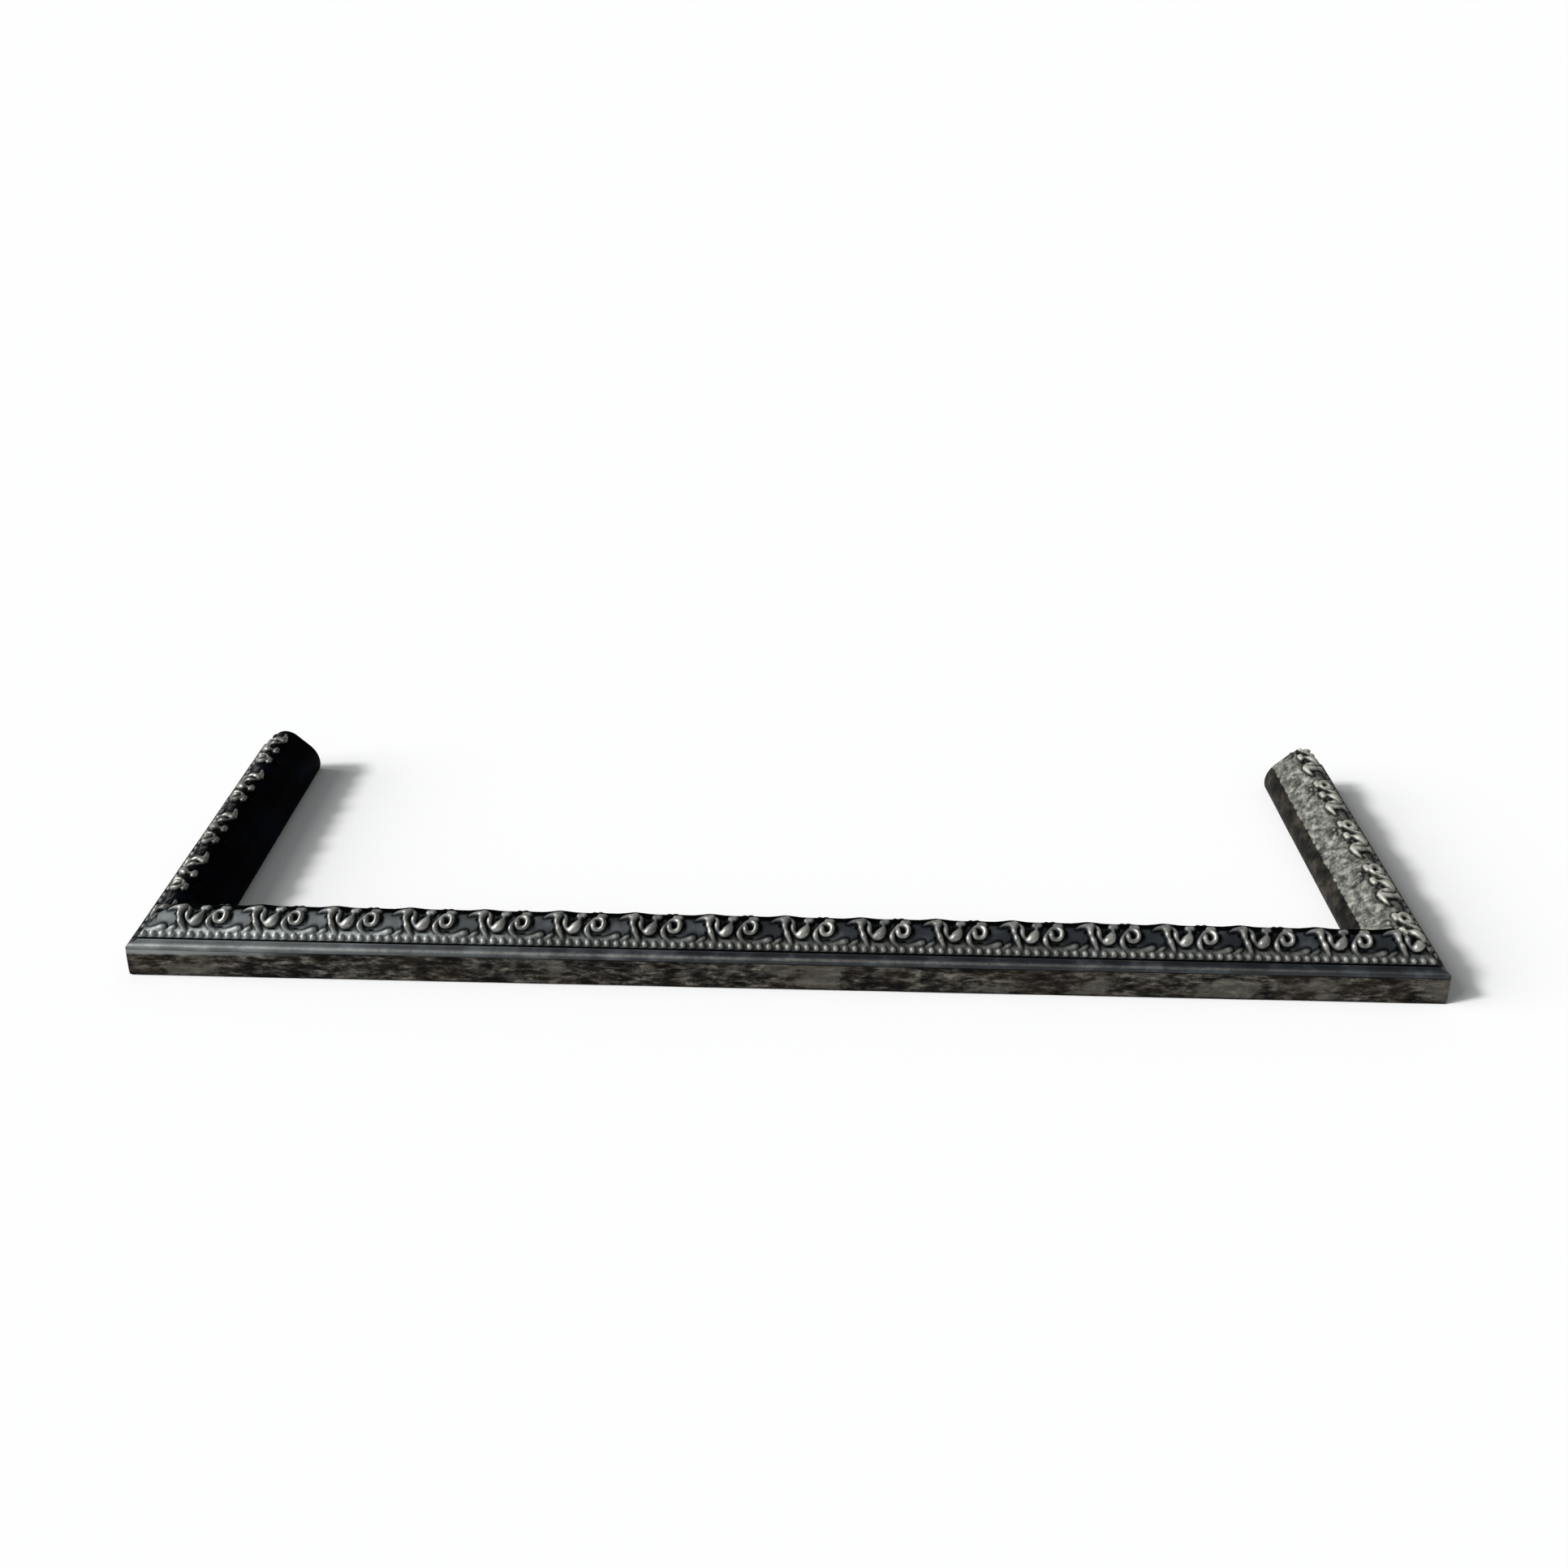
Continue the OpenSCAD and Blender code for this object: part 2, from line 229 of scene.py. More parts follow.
def outer_section():
    """From the foot of the plinth over the crest to the hearth side's foot."""
    points = (arc((FOOT_R, FOOT_R), FOOT_R, 262, 180, 4)
              + [(PLINTH_LEAN * z / PLINTH_H, z, None) for z in np.linspace(4, PLINTH_H - 3, 6)]
              + arc((PLINTH_LEAN + ARRIS_R, PLINTH_H - ARRIS_R), ARRIS_R, 180, 100, 4)
              + arc(OVOLO_C, OVOLO_R, 195.4, 68.8, 14)
              + arc(COVE_C, COVE_R, 256.4, 373.6, 9))
    for s in field_rows():
        if s < SLOPE_LEN:
            u = BEAD_U + s / sqrt(2)
            points.append((u, u + SLOPE_DROP, s))
        else:
            a = radians(SLOPE_A) - (s - SLOPE_LEN) / CREST_R
            points.append((CREST_C[0] + CREST_R * cos(a), CREST_C[1] + CREST_R * sin(a), s))
    floor_a = -degrees(asin(BACK_C[1] / BACK_R))
    # The foot of the hearth side is eased, too
    points += arc(BACK_C, BACK_R, BACK_A, floor_a + 1.2, 22)[1:]
    points.append((points[-1][0] - 0.9, 0.0, None))
    return points


def inner_section():
    """Of the hollow, from the hearth side's inner foot back to the plinth's."""
    floor_a = -degrees(asin(BACK_C[1] / (BACK_R - WALL)))
    ceiling = SLOPE_DROP - WALL * sqrt(2)
    shoulder = WALL + PLINTH_LEAN
    return (arc(BACK_C, BACK_R - WALL, floor_a, BACK_A, 12)
            + arc(CREST_C, CREST_R - WALL, BACK_A, SLOPE_A, 10)
            + [(shoulder + 4, shoulder + 4 + ceiling, None), (shoulder, shoulder + ceiling, None),
               (WALL, 0.0, None)])


def section_normals(points):
    p = np.array([q[:2] for q in points], float)
    d = np.gradient(p, axis=0)
    d /= np.linalg.norm(d, axis=1)[:, None]
    return np.column_stack([-d[:, 1], d[:, 0]])


def drift(x, seed, length, amount):
    """Slow waviness of a sand casting along a run: sines of uneven lengths."""
    rng = np.random.default_rng(seed)
    total = np.zeros(np.shape(x))
    for k in (1.0, 1.7, 2.9, 4.3):
        total += np.sin(2 * pi * k * x / length + rng.uniform(0, 2 * pi)) / k
    return amount * total / 2


# ---- One casting -------------------------------------------------------------------

# Skins of a casting, in the order of its materials
PLINTH, DRESSED, RAW, SEAM = 0, 1, 2, 3
# Places up the field given to what lies under and behind it
BELOW_FIELD, BEHIND_FIELD = -9.0, 60.0
# The brush rubs the ovolo most where its round has turned this far up from the outer
# side, and less over so many degrees each way
RUB_PEAK, RUB_TURN, RUB_SPAN = 2.95, 50, 55
# Painted shade with blacking in the quirk and in the cove, and where across the section each lies
QUIRK_BLACK, QUIRK_U, COVE_BLACK, COVE_U = 0.45, 4.5, 0.3, 12.6


def proud(u, z):
    """How far the brush reaches the plain members: the round of the ovolo stands proud."""
    if PLINTH_H < z < 37 and u < OVOLO_C[0] + 2:
        turn = degrees(atan2(z - OVOLO_C[1], OVOLO_C[0] - u))
        return RUB_PEAK * max(0.0, 1 - abs(turn - RUB_TURN) / RUB_SPAN)
    return 0.0


def crease_shade_and_black(u, z):
    """Painted shade, with blacking, in the quirk over the plinth and in the cove."""
    quirk = cove = 0.0
    if PLINTH_H - 0.3 < z < PLINTH_H + 1.4:
        quirk = QUIRK_BLACK * max(0.0, 1 - abs(u - QUIRK_U) / 0.7)
    if z > 35 and u < LIP_U + 1.2:
        cove = COVE_BLACK * max(0.0, 1 - max(0.0, abs(u - COVE_U) - 1.0) / 1.6)
    return max(quirk, cove)


class Casting:
    """Mesh of one hollow bar. x runs along the bar, u in from the outer face."""

    def __init__(self, length, start, mitre_l, mitre_r, seed, humps=0.0, over=0.0):
        """start: where a repeat begins. humps: share of the humps behind the crest.
        over: how much further over the crest the scroll lies."""
        self.length, self.start, self.humps, self.over = length, start, humps, over
        self.mitre_l, self.mitre_r, self.seed = mitre_l, mitre_r, seed
        self.verts, self.faces, self.skins = [], [], []
        self.field, self.relief, self.hollow = [], [], []
        self.index = {}

    def columns(self):
        step = REPEAT / COLUMNS
        first = int(np.ceil((0 - self.start) / step + 0.02))
        last = int(np.floor((self.length - self.start) / step - 0.02))
        inside = [self.start + k * step for k in range(first, last + 1)]
        self.x = np.array([0.0] + inside + [self.length])
        count = np.arange(len(self.x))
        near_end = (self.x < NEAR_END) | (self.x > self.length - NEAR_END)
        plain = (count % PLAIN_EVERY == 0) | (near_end & (count % 2 == 0))
        plain[[0, -1]] = True
        self.plain = np.flatnonzero(plain)
        self.fine = count

    def clamp(self, x, u, web=0.0):
        low = u if self.mitre_l else web
        high = self.length - (u if self.mitre_r else web)
        return np.clip(x, low, high)

    def mitre_room(self, x, u):
        """Distance along the bar to the nearest mitre."""
        room = np.full(np.shape(x), FAR)
        if self.mitre_l:
            room = np.minimum(room, x - u)
        if self.mitre_r:
            room = np.minimum(room, self.length - u - x)
        return room

    def corner_ease(self, x, z):
        """Worn arris of the plinth at a mitre, rounder at the floor."""
        ease = MITRE_EASE + FOOT_EASE * np.clip(1 - z / FOOT_REACH, 0, 1) ** 2
        gone = np.clip(1 - self.mitre_room(x, 0.0) / ease, 0, 1)
        return ease * (1 - np.sqrt(1 - gone ** 2))

    def add(self, p, field, relief, hollow):
        key = (round(p[0], 3), round(p[1], 3), round(p[2], 3))
        if key not in self.index:
            self.index[key] = len(self.verts)
            self.verts.append(p)
            self.field.append(field)
            self.relief.append(relief)
            self.hollow.append(hollow)
        return self.index[key]

    def relief_at(self, place, u, z, s, tile_row):
        """Rise, polish, and black painted as shade with blacking, of the ornament at places along
        one row of the field.
        """
        k = ((place - self.start) / (REPEAT / COLUMNS)) % COLUMNS
        lower = np.floor(k).astype(int) % COLUMNS
        upper = (lower + 1) % COLUMNS
        part = k - np.floor(k)
        height, black, humps = (layer[lower, tile_row] * (1 - part) + layer[upper, tile_row] * part
                                for layer in TILE)
        if self.over:
            height = height * np.clip((FIELD_END - s) / OVER_FADE, 0, 1)
        edge = BEAD_U + 0.8
        bead_h, bead_black = bead_fields(place, s, self.start,
                                         edge if self.mitre_l else BEAD_HALF_W,
                                         self.length - (edge if self.mitre_r else BEAD_HALF_W))
        polish = np.maximum(height, 1.15 * bead_h)
        hollow = np.maximum(np.maximum(black, bead_black), crease_shade_and_black(u, z))
        height = np.maximum(np.maximum(height, bead_h), self.humps * humps)
        fade = np.clip(self.mitre_room(place, u) / MITRE_FADE, 0, 1) ** 0.6
        wave = drift(place, self.seed + 1, RISE_WAVE_L, RISE_WAVE)
        return height * (1 + wave) * fade, polish, hollow

    def row(self, point, normal, columns, girth, tile_row):
        """Indices of one row of the outer face, on the given columns."""
        u, z, s = point
        x = self.x[columns]
        # Painted light on the ovolo, stronger towards the left end of a long bar
        ovolo_left_light = 1.08 - 0.06 * x / self.length - 0.34 * (x / self.length) ** 2
        polish = proud(u, z) * ovolo_left_light
        hollow = np.full(len(columns), crease_shade_and_black(u, z))
        field = BELOW_FIELD if u < LIP_U - 0.5 else BEHIND_FIELD if s is None else s
        place = self.clamp(x, u)
        # Relief moves the mitre, which moves the place, so it takes a few rounds
        for _ in range(1 if s is None else 3):
            out = 0.0
            if s is not None:
                out, polish, hollow = self.relief_at(place, u, z, s, tile_row)
            if z < PLINTH_H:
                # The foot and the top stay on their lines; only the face gives way
                out = -np.clip(SKIN + drift(place, self.seed, FACE_WAVE_L, FACE_WAVE), 0, None)
            else:
                wave = drift(place, self.seed + int(girth // BAND), SKIN_WAVE_L, SKIN_WAVE)
                out = out - SKIN - wave
            moved_u = u + normal[0] * out
            moved_z = np.clip(z + normal[1] * out, 0, CREST_TOP) if z > 0.01 else np.zeros(len(x))
            if z < PLINTH_H + 1:
                moved_u = moved_u + self.corner_ease(place, moved_z)
            place = self.clamp(x, moved_u)
        return [self.add((place[i], moved_u[i], moved_z[i]), field, polish[i], hollow[i])
                for i in range(len(columns))]

    def hollow_row(self, point):
        """Indices of one row of the hollow, which is plain."""
        u, z, _ = point
        z = z if z > 0.01 else 0.0
        return [self.add((x, u, z), BELOW_FIELD, 0.0, 0.0)
                for x in self.clamp(self.x[self.plain], u, END_WEB)]

    def face(self, corners, skin):
        clean = [c for i, c in enumerate(corners) if c != corners[i - 1]]
        if len(set(clean)) > 2:
            self.faces.append(clean)
            self.skins.append(skin)

    def join(self, row_a, cols_a, row_b, cols_b, skin):
        """Faces between two rows, also where one has more columns than the other."""
        at_a = {c: i for i, c in enumerate(cols_a)}
        at_b = {c: i for i, c in enumerate(cols_b)}
        shared = cols_a if len(cols_a) <= len(cols_b) else cols_b
        for c0, c1 in zip(shared[:-1], shared[1:]):
            a = row_a[at_a[c0]:at_a[c1] + 1]
            b = row_b[at_b[c0]:at_b[c1] + 1]
            self.face(a + b[::-1], skin)

    def build(self):
        self.columns()
        outer = outer_section()
        normals = section_normals(outer)
        fields = field_rows()
        girth, rows = 0.0, []
        for j, point in enumerate(outer):
            if j:
                girth += hypot(point[0] - outer[j - 1][0], point[1] - outer[j - 1][1])
            u, z, s = point
            tile_row, columns = None, self.plain
            if s is not None:
                tile_row, columns = int(np.argmin(np.abs(fields - s + self.over))), self.fine
            skin = PLINTH if z < PLINTH_H and u < PLINTH_LEAN + ARRIS_R else DRESSED
            rows.append((self.row(point, normals[j], columns, girth, tile_row), columns, skin))
        outer_count = len(rows)
        rows += [(self.hollow_row(point), self.plain, RAW) for point in inner_section()]
        for j, (a, cols_a, skin) in enumerate(rows):
            b, cols_b, _ = rows[(j + 1) % len(rows)]
            self.join(a, cols_a, b, cols_b, RAW if j == outer_count - 1 else skin)
        for side, mitred in ((0, self.mitre_l), (-1, self.mitre_r)):
            shell = [r[0][side] for r in rows[:outer_count]]
            core = [r[0][side] for r in rows[outer_count:]]
            if mitred:
                parts = [(shell + core, SEAM)]
            else:
                rim = [shell[-1], shell[0], core[-1], core[0]]
                parts = [(shell, DRESSED), (core, RAW), (rim, RAW)]
            for part, skin in parts:
                self.face(part[::-1] if side == 0 else part, skin)
        return self

    def bosses(self, places):
        """Tapered bosses with tapped holes below the crown, open downwards."""
        count, taper, ease, depth = 32, 0.9, 0.6, 14
        for x in places:
            rings = [(BOSS_D / 2 + taper, BOSS_TOP), (BOSS_D / 2, BOSS_H + ease),
                     (BOSS_D / 2 - ease, BOSS_H), (HOLE_D / 2 + 0.5, BOSS_H),
                     (HOLE_D / 2, BOSS_H + 0.5), (HOLE_D / 2, BOSS_H + depth)]
            loops = []
            for radius, z in rings:
                loops.append([self.add((x + radius * cos(2 * pi * k / count),
                                        AXIS_U + radius * sin(2 * pi * k / count), z),
                                       BELOW_FIELD, 0, 0) for k in range(count)])
            for a, b in zip(loops[:-1], loops[1:]):
                for k in range(count):
                    self.face([a[k], b[k], b[(k + 1) % count], a[(k + 1) % count]], RAW)
            self.face(loops[0], RAW)
            self.face(loops[-1][::-1], RAW)

    def piece(self, name, place, skins, replaces):
        """The finished mesh, put in its place in metres."""
        mesh = bpy.data.meshes.new(name)
        mesh.from_pydata([tuple(v) for v in self.verts], [], self.faces)
        values_by_name = {"field": self.field, "relief": self.relief, "hollow": self.hollow}
        for key, values in values_by_name.items():
            layer = mesh.attributes.new(key, "FLOAT", "POINT")
            layer.data.foreach_set("value", np.array(values, np.float32))
        for skin in skins:
            mesh.materials.append(skin)
        mesh.polygons.foreach_set("material_index", np.array(self.skins, np.int32))
        mesh.transform(place @ Matrix.Scale(MM, 4))
        mesh.shade_smooth()
        mesh.validate()
        mesh.set_sharp_from_angle(angle=radians(SHARP_A))
        piece = bpy.data.objects.new(name, mesh)
        bpy.context.scene.collection.objects.link(piece)
        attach(piece, "root")
        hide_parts(replaces)
        return piece


# ---- Materials ---------------------------------------------------------------------

def srgb(code):
    """A colour written as sRGB hex, turned to linear."""
    parts = [int(code[i:i + 2], 16) / 255 for i in (1, 3, 5)]
    return tuple(c / 12.92 if c <= 0.04045 else ((c + 0.055) / 1.055) ** 2.4
                 for c in parts) + (1.0,)


def new_material(name):
    material = bpy.data.materials.new(name)
    material.use_nodes = True
    tree = material.node_tree
    tree.nodes.clear()
    return material, tree


def add(tree, kind, settings=None, **inputs):
    """Adds a node: settings go on the node itself, inputs on its sockets, linked if sockets."""
    node = tree.nodes.new(kind)
    for key, value in (settings or {}).items():
        setattr(node, key, value)
    for key, value in inputs.items():
        socket = node.inputs[int(key[1:])] if key[0] == "_" else node.inputs[key.replace("_", " ")]
        if isinstance(value, bpy.types.NodeSocket):
            tree.links.new(value, socket)
        else:
            socket.default_value = value
    return node


def object_coords(tree):
    return add(tree, "ShaderNodeTexCoord").outputs["Object"]


def axis(tree, coords, index):
    return add(tree, "ShaderNodeSeparateXYZ", _0=coords).outputs[index]


def ramp(tree, value, *stops):
    """Colour ramp over a value, from (place, hex) stops."""
    node = add(tree, "ShaderNodeValToRGB", Fac=value)
    marks = node.color_ramp.elements
    while len(marks) < len(stops):
        marks.new(0.5)
    for mark, (at, code) in zip(marks, stops):
        mark.position = at
        mark.color = srgb(code)
    return node.outputs["Color"]


def spread(tree, value, from_low, from_high, to_low=0.0, to_high=1.0):
    """A value's span turned to another one, with soft ends."""
    return add(tree, "ShaderNodeMapRange", {"interpolation_type": "SMOOTHSTEP"}, Value=value,
               From_Min=from_low, From_Max=from_high, To_Min=to_low, To_Max=to_high).outputs[0]


def maths(tree, kind, a, b):
    return add(tree, "ShaderNodeMath", {"operation": kind, "use_clamp": True},
               _0=a, _1=b).outputs[0]


def times(tree, a, b):
    return maths(tree, "MULTIPLY", a, b)


def ragged(tree, pattern, throw, height):
    """A height whose level lines wander with a pattern, by up to throw metres."""
    return add(tree, "ShaderNodeMath", {"operation": "MULTIPLY_ADD"}, _0=pattern, _1=throw,
               _2=height).outputs[0]


def blend(tree, amount, a, b):
    """From a to b by an amount; a hex colour may stand for either."""
    a, b = (srgb(c) if isinstance(c, str) else c for c in (a, b))
    return add(tree, "ShaderNodeMix", {"data_type": "RGBA"}, Factor=amount, _6=a, _7=b).outputs[2]


def noise(tree, coords, size_mm, detail=4.0, rough=0.55, stretch=None):
    """Cloudy pattern whose lumps are about size_mm across."""
    if stretch:
        coords = add(tree, "ShaderNodeMapping", _0=coords, Scale=stretch).outputs[0]
    return add(tree, "ShaderNodeTexNoise", _0=coords, Scale=1000 / size_mm / 2, Detail=detail,
               Roughness=rough).outputs["Fac"]


def finish_skin(tree, colour, roughness, metallic, bumps, shine=0.5):
    """Principled surface with bumps, each (height, strength, distance in mm)."""
    normal = None
    for height, strength, distance in bumps:
        bump = add(tree, "ShaderNodeBump", Strength=strength, Distance=distance * MM, Height=height)
        if normal:
            tree.links.new(normal, bump.inputs["Normal"])
        normal = bump.outputs["Normal"]
    shader = add(tree, "ShaderNodeBsdfPrincipled", Base_Color=colour, Roughness=roughness,
                 Metallic=metallic, Specular_IOR_Level=shine)
    tree.links.new(normal, shader.inputs["Normal"])
    out = add(tree, "ShaderNodeOutputMaterial")
    tree.links.new(shader.outputs[0], out.inputs["Surface"])


def casting_marks(tree):
    """What the mesh carries: height of the relief, black painted in the hollows as shade with
    blacking, place up the field.
    """
    return [add(tree, "ShaderNodeAttribute", {"attribute_name": key}).outputs["Fac"]
            for key in ("relief", "hollow", "field")]


def sand_skin(tree, at, pebble, grain):
    """Bumps of a sand casting under its blacking."""
    return [(noise(tree, at, 5, 3), 0.5, 0.3), (pebble, 0.55, 0.3), (grain, 0.5, 0.15)]


def front_iron():
    """Blackleaded sand-cast iron, brushed up on the high points: the ground keeps a slate
    film of graphite, hollows round the relief are painted black as shade with blacking, tops
    are rubbed to dull grey metal, the side behind the crest is still black and painted light
    makes the left end paler."""
    material, tree = new_material("blackleaded_cast_iron_front")
    at = object_coords(tree)
    relief, hollow, field = casting_marks(tree)
    blotch, pebble, grain = noise(tree, at, 14, 5), noise(tree, at, 3.2, 3), noise(tree, at, 1.5, 3)
    base = blend(tree, spread(tree, blotch, 0.3, 0.7), "#161a1e", "#2c3137")
    # Dust and old polish lodge just above the beads
    dust = times(tree, spread(tree, field, -4.5, -1.0), spread(tree, field, 10.5, 5.5))
    dust = times(tree, dust, spread(tree, pebble, 0.34, 0.62, 0.35, 0.95))
    base = blend(tree, dust, base, "#5f605b")
    # Painted light makes the left end a paler grey than the right, with random blotches
    across = axis(tree, at, 0)
    left_light_and_blotches = maths(tree, "ADD", spread(tree, across, 0.1, -0.66, 0.0, 0.72),
                spread(tree, blotch, 0.35, 0.75, -0.2, 0.25))
    base = blend(tree, left_light_and_blotches, base, "#757b7c")
    # Painted light makes the dust band paler still towards the left end
    base = blend(tree, times(tree, dust, spread(tree, across, -0.15, -0.6)), base, "#b3bab9")
    wear = times(tree, spread(tree, relief, 1.0, 4.6), spread(tree, pebble, 0.36, 0.6, 0.5, 1.0))
    metal = blend(tree, spread(tree, blotch, 0.35, 0.65), "#8b8b86", "#b3b2ab")
    colour = blend(tree, wear, base, metal)
    # Painted shade with blacking round the relief, and the real black behind the crest
    dark = times(tree, hollow, spread(tree, relief, 3.4, 0.7))
    dark = times(tree, dark, spread(tree, pebble, 0.25, 0.5, 0.85, 1.0))
    behind = times(tree, spread(tree, field, 24.5, 29.0), spread(tree, relief, 3.2, 0.8))
    dark = maths(tree, "MAXIMUM", dark, behind)
    colour = blend(tree, dark, colour, "#010202")
    pits = spread(tree, grain, 0.62, 0.76, 0.0, 0.6)
    colour = blend(tree, pits, colour, "#08090a")
    metallic = times(tree, spread(tree, wear, 0.0, 1.0, 0.25, 0.6), spread(tree, dark, 1.0, 0.0))
    finish_skin(tree, colour, spread(tree, wear, 0.0, 1.0, 0.58, 0.46), metallic,
                sand_skin(tree, at, pebble, grain), spread(tree, dark, 0.0, 1.0, 0.5, 0.02))
    return material


def left_return_iron():
    """Blacked iron of the left return: its round towards the hearth is sooty, blue-black and
    dull, painted darker still as shade, its scrolls are rubbed as on the front."""
    material, tree = new_material("sooty_shaded_cast_iron_left")
    at = object_coords(tree)
    relief, hollow, field = casting_marks(tree)
    blotch, pebble, grain = noise(tree, at, 16, 5), noise(tree, at, 3.2, 3), noise(tree, at, 1.5, 3)
    # Soot black, made darker still as painted shade on the round turned from the light
    soot_and_painted_shade = blend(tree, spread(tree, blotch, 0.42, 0.66), "#010101", "#060a16")
    ground = blend(tree, spread(tree, pebble, 0.38, 0.62), "#0d0e0f", "#46474a")
    base = blend(tree, spread(tree, field, 27.0, 20.0), soot_and_painted_shade, ground)
    wear = times(tree, spread(tree, relief, 1.0, 4.2), spread(tree, pebble, 0.36, 0.6, 0.35, 1.0))
    metal = blend(tree, spread(tree, blotch, 0.35, 0.65), "#84847f", "#a5a49d")
    colour = blend(tree, wear, base, metal)
    # Painted shade with blacking round the relief
    dark = times(tree, hollow, spread(tree, relief, 3.2, 0.7))
    colour = blend(tree, dark, colour, "#020203")
    pits = spread(tree, grain, 0.62, 0.76, 0.0, 0.6)
    colour = blend(tree, pits, colour, "#030304")
    finish_skin(tree, colour, spread(tree, wear, 0.0, 1.0, 0.62, 0.46),
                spread(tree, wear, 0.0, 1.0, 0.0, 0.6), sand_skin(tree, at, pebble, grain),
                spread(tree, wear, 0.0, 1.0, 0.02, 0.5))
    return material


def right_return_iron():
    """Iron of the right return, whose blacking has been rubbed and scaled off: mottled grey
    with a green cast on top, with a brown-black band left along the foot of the hearth side."""
    material, tree = new_material("rubbed_scaled_cast_iron_right")
    at = object_coords(tree)
    relief, hollow, field = casting_marks(tree)
    blotch, scale = noise(tree, at, 20, 5), noise(tree, at, 4, 6, 0.7)
    grain = noise(tree, at, 1.5, 3)
    mottle = ramp(tree, scale, (0.34, "#1a1b17"), (0.43, "#3b3c36"), (0.5, "#60615a"),
                  (0.57, "#82837a"), (0.68, "#a8a89e"))
    mottle = blend(tree, spread(tree, blotch, 0.48, 0.7, 0.0, 0.5), mottle, "#3f403a")
    outer = blend(tree, spread(tree, scale, 0.4, 0.6), "#0d0e0c", "#40413b")
    base = blend(tree, spread(tree, field, 14.0, 27.0), outer, mottle)
    # Scale left along the foot, with a ragged edge
    edge = ragged(tree, scale, 0.008, axis(tree, at, 2))
    foot = times(tree, spread(tree, edge, 0.0362, 0.0345), spread(tree, field, 28.0, 30.0))
    brown = ramp(tree, noise(tree, at, 9, 6, 0.65), (0.36, "#080807"), (0.47, "#171613"),
                 (0.56, "#292621"), (0.66, "#3d3730"), (0.78, "#6d4c3a"))
    base = blend(tree, foot, base, brown)
    wear = times(tree, spread(tree, relief, 0.6, 3.8), spread(tree, scale, 0.3, 0.6, 0.6, 1.0))
    colour = blend(tree, wear, base, "#b4b3a9")
    # Painted shade with blacking round the relief
    dark = times(tree, hollow, spread(tree, relief, 3.2, 0.7))
    colour = blend(tree, times(tree, dark, 0.96), colour, "#060606")
    pits = spread(tree, grain, 0.6, 0.74, 0.0, 0.6)
    colour = blend(tree, pits, colour, "#171714")
    finish_skin(tree, colour, spread(tree, scale, 0.3, 0.7, 0.66, 0.5),
                spread(tree, wear, 0.0, 1.0, 0.15, 0.5),
                [(scale, 0.8, 0.6), (noise(tree, at, 3, 3), 0.5, 0.25), (grain, 0.5, 0.15)],
                spread(tree, maths(tree, "MAXIMUM", dark, foot), 0.0, 1.0, 0.5, 0.06))
    return material


def plinth_iron():
    """Plinths, sand-cast and blacked once: short flecks and scuffs along the front's length,
    brown oxide where the black has gone, a black foot painted as shade with old blacking, a
    line of painted shade under the ovolo and painted light on the top edge at the left end."""
    material, tree = new_material("scuffed_brown_cast_iron")
    at = object_coords(tree)
    cloud, patch = noise(tree, at, 45, 4), noise(tree, at, 24, 5, 0.6, (0.6, 1.0, 1.0))
    fleck = noise(tree, at, 3.0, 5, 0.68, (0.34, 1.0, 1.0))
    scuff = noise(tree, at, 2.4, 4, 0.6, (0.2, 1.0, 1.0))
    grain = noise(tree, at, 1.4, 3)
    colour = ramp(tree, fleck, (0.36, "#0a0908"), (0.44, "#1b1916"), (0.5, "#2d2a26"),
                  (0.57, "#49453e"), (0.66, "#7a746a"))
    # Brown oxide, worn patches, thick black, scuffs and pits, each a pattern's span
    for pattern, low, high, amount, code in (
            (cloud, 0.46, 0.58, 0.45, "#33291f"), (patch, 0.53, 0.6, 0.62, "#5f5c54"),
            (patch, 0.46, 0.36, 0.8, "#0d0c0b"), (scuff, 0.6, 0.72, 0.6, "#78736a"),
            (scuff, 0.4, 0.28, 0.8, "#0a0909"), (grain, 0.6, 0.72, 0.55, "#0c0b0b")):
        colour = blend(tree, spread(tree, pattern, low, high, 0.0, amount), colour, code)
    height = axis(tree, at, 2)
    edge = ragged(tree, fleck, 0.003, height)
    # Painted shade, with old blacking, along the foot
    colour = blend(tree, spread(tree, edge, 0.0045, 0.0022), colour, "#040404")
    # Painted shade in the quirk under the ovolo
    quirk = times(tree, spread(tree, height, 0.0297, 0.0303),
                  spread(tree, patch, 0.35, 0.5, 0.5, 1.0))
    colour = blend(tree, quirk, colour, "#0b0a0a")
    # Painted light on the top edge, growing towards the left end
    left_edge_light = times(tree, spread(tree, edge, 0.0265, 0.0295),
                  spread(tree, axis(tree, at, 0), -0.45, -0.64))
    colour = blend(tree, left_edge_light, colour, "#8b908e")
    finish_skin(tree, colour, spread(tree, fleck, 0.3, 0.7, 0.7, 0.56), 0.15,
                [(patch, 0.35, 0.5), (fleck, 0.6, 0.35), (grain, 0.5, 0.15)],
                spread(tree, fleck, 0.46, 0.6, 0.05, 0.3))
    return material


def raw_iron():
    """Underside as it left the sand: grainy skin, brown with old rust, never dressed."""
    material, tree = new_material("raw_rusted_casting_skin")
    at = object_coords(tree)
    cloud, grain = noise(tree, at, 22, 5), noise(tree, at, 1.4, 4, 0.7)
    colour = ramp(tree, cloud, (0.3, "#2b231e"), (0.5, "#4a3427"), (0.7, "#5c402c"))
    colour = blend(tree, spread(tree, grain, 0.5, 0.7, 0.0, 0.6), colour, "#211c19")
    finish_skin(tree, colour, 0.82, 0.15, [(noise(tree, at, 6, 3), 0.5, 0.5), (grain, 0.7, 0.25)])
    return material


